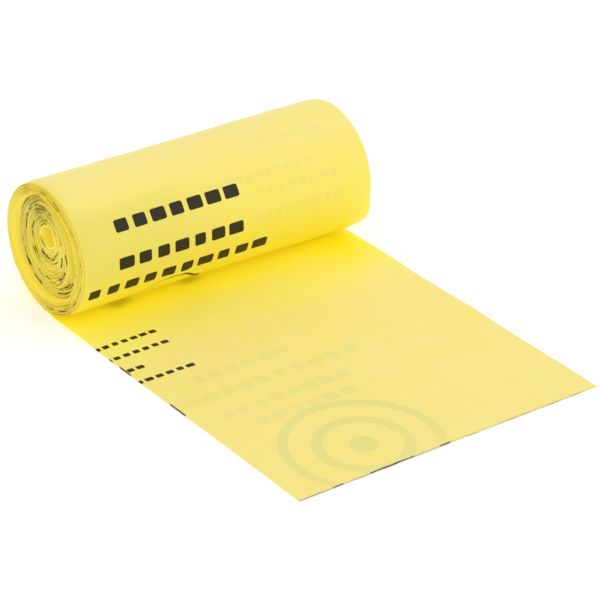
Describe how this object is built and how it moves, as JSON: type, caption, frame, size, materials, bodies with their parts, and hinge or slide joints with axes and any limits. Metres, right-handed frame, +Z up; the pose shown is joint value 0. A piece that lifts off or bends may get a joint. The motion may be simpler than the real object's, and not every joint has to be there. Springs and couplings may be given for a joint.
{
  "type": "roll of infectious linen bags",
  "caption": "Coreless roll of folded yellow plastic film linen bags, lying on its side with the leading bag drawn out flat in front of it.",
  "frame": {"origin": "the middle of the bounding box, at the floor", "axes": "+X along the roll's axis, +Y from the torn edge of the drawn-out bag towards the roll, +Z up"},
  "size_m": [0.26, 0.3524, 0.099],
  "materials": {
    "film": "thin translucent polyethylene film with a satin surface"
  },
  "bodies": {
    "root": {"bag_roll": "film"}
  },
  "joints": []
}
